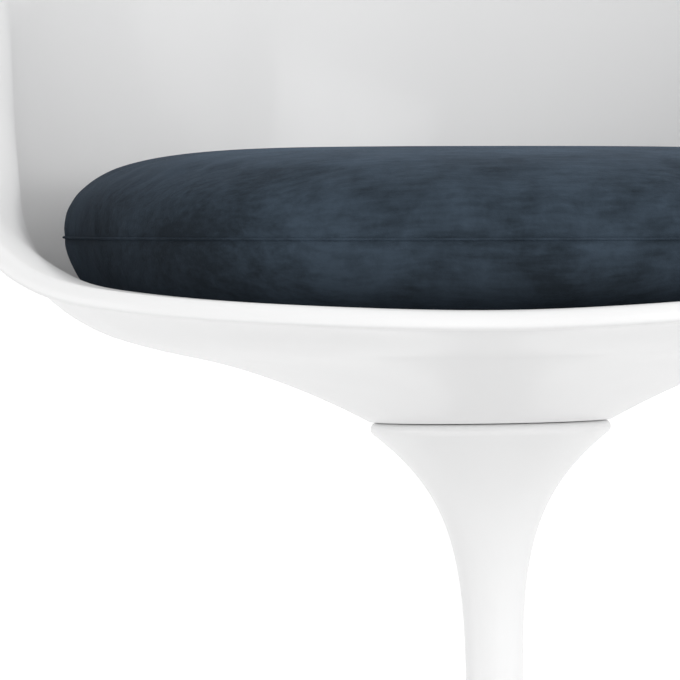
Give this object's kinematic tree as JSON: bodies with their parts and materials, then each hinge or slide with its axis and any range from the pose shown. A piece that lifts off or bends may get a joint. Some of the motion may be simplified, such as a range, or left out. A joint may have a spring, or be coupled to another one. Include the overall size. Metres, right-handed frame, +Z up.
{
  "type": "pedestal swivel armchair",
  "caption": "Moulded white shell armchair that turns on a white trumpet pedestal with a wide round foot, with a loose dark velvet seat cushion.",
  "frame": {"origin": "on the floor, under the swivel axis, at the centre of the round foot", "axes": "+Z up along the swivel axis, -Y towards the front of the seat, +X towards the sitter's left arm"},
  "size_m": [0.6734, 0.5943, 0.8081],
  "materials": {
    "shell_white": "gloss",
    "pedestal_white": "gloss",
    "glide_black": "matt",
    "machined_steel": "satin",
    "zinc_steel": "satin",
    "bearing_steel": "polished",
    "nylon": "satin",
    "velvet": "velvet",
    "foam": "matt",
    "pad_black": "matt",
    "zip_fabric": "matt",
    "zip_metal": "satin"
  },
  "bodies": {
    "pedestal": {"pedestal_casting": "pedestal_white", "floor_glide_ring": "glide_black", "bearing_sleeve": "machined_steel", "upper_bush": "nylon", "lower_bush": "nylon", "lower_race": "bearing_steel", "sleeve_screw_1": "zinc_steel", "sleeve_screw_2": "zinc_steel", "sleeve_screw_3": "zinc_steel"},
    "ball_bearing": {"ball_cage": "nylon", "bearing_ball_01": "bearing_steel", "bearing_ball_02": "bearing_steel", "bearing_ball_03": "bearing_steel", "bearing_ball_04": "bearing_steel", "bearing_ball_05": "bearing_steel", "bearing_ball_06": "bearing_steel", "bearing_ball_07": "bearing_steel", "bearing_ball_08": "bearing_steel", "bearing_ball_09": "bearing_steel", "bearing_ball_10": "bearing_steel", "bearing_ball_11": "bearing_steel", "bearing_ball_12": "bearing_steel"},
    "seat": {"seat_shell": "shell_white", "swivel_plate": "machined_steel", "spindle": "machined_steel", "upper_race": "bearing_steel", "thrust_washer": "nylon", "retaining_ring": "machined_steel", "seat_bolt_1": "zinc_steel", "seat_bolt_2": "zinc_steel", "seat_bolt_3": "zinc_steel", "seat_bolt_4": "zinc_steel", "seat_washer_1": "zinc_steel", "seat_washer_2": "zinc_steel", "seat_washer_3": "zinc_steel", "seat_washer_4": "zinc_steel", "hook_pad_1": "pad_black", "hook_pad_2": "pad_black", "hook_pad_3": "pad_black", "loop_pad_1": "pad_black", "loop_pad_2": "pad_black", "loop_pad_3": "pad_black", "cushion_top_cover": "velvet", "cushion_bottom_cover": "velvet", "cushion_core": "foam", "cushion_seam": "velvet", "zip_tape": "zip_fabric", "zip_slider": "zip_metal"}
  },
  "joints": [
    {"name": "seat_swivel", "type": "hinge", "parent": "pedestal", "child": "seat", "pos_m": [0, 0, 0.3305], "axis": [0, 0, 1], "continuous": true},
    {"name": "ball_cage_spin", "type": "hinge", "parent": "pedestal", "child": "ball_bearing", "pos_m": [0, 0, 0.3305], "axis": [0, 0, 1], "continuous": true}
  ],
  "couplings": [
    {"joint": "ball_cage_spin", "follows": "seat_swivel", "ratio": 0.5}
  ]
}
